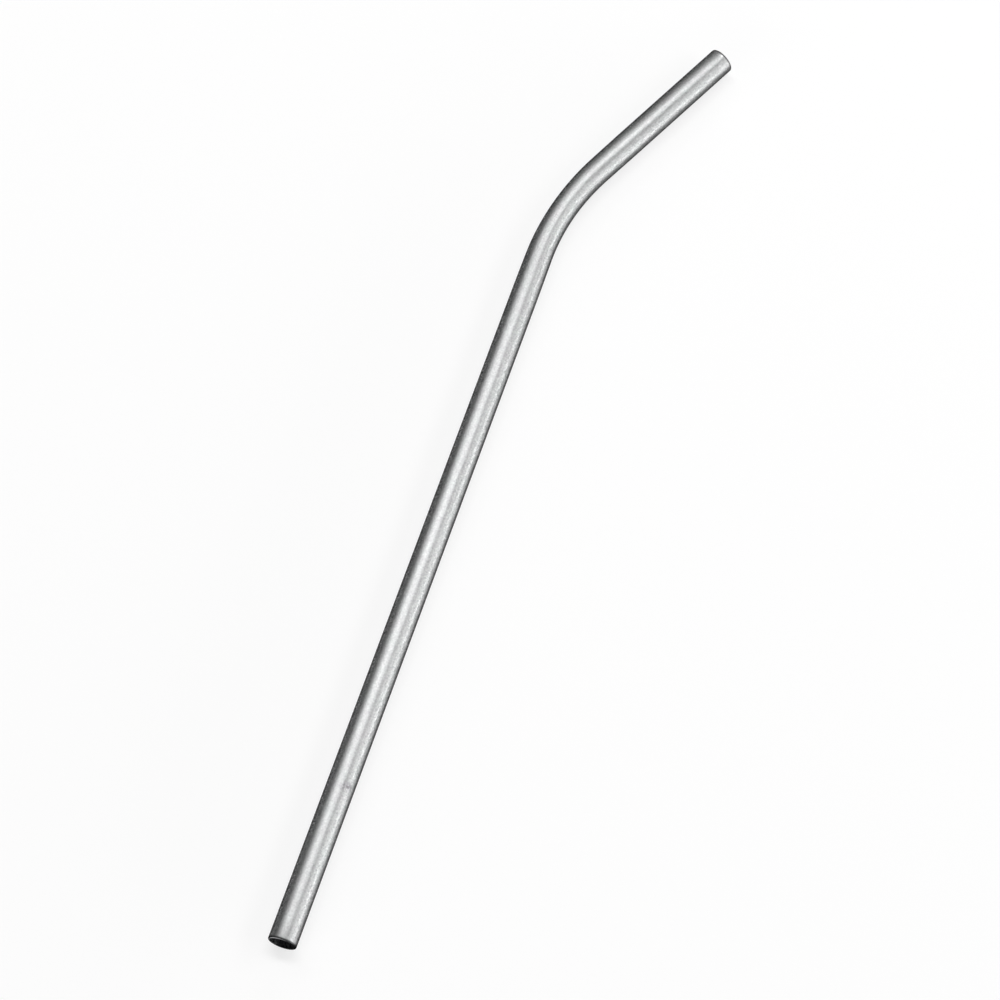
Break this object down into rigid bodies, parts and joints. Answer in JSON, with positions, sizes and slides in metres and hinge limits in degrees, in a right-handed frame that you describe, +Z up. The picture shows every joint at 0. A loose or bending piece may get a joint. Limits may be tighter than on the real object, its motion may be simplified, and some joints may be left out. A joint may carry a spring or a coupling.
{
  "type": "bent metal drinking straw",
  "caption": "Reusable drinking straw: one length of thin round satin aluminium tube with a single gentle bend and smoothed open ends, lying flat.",
  "frame": {"origin": "on the surface that the straw lies on, under the middle of its outline", "axes": "+X along the long leg from the glass end towards the bend, the mouth leg turned 26.5 degrees from +X towards -Y, the plane of the bend level, +Z up"},
  "size_m": [0.2262, 0.0292, 0.006],
  "materials": {
    "satin_aluminium": "bare, fine satin: tumbled matte grain drawn out slightly along the tube, rims buffed a little brighter"
  },
  "bodies": {
    "root": {"straw_tube": "satin_aluminium"}
  },
  "joints": []
}
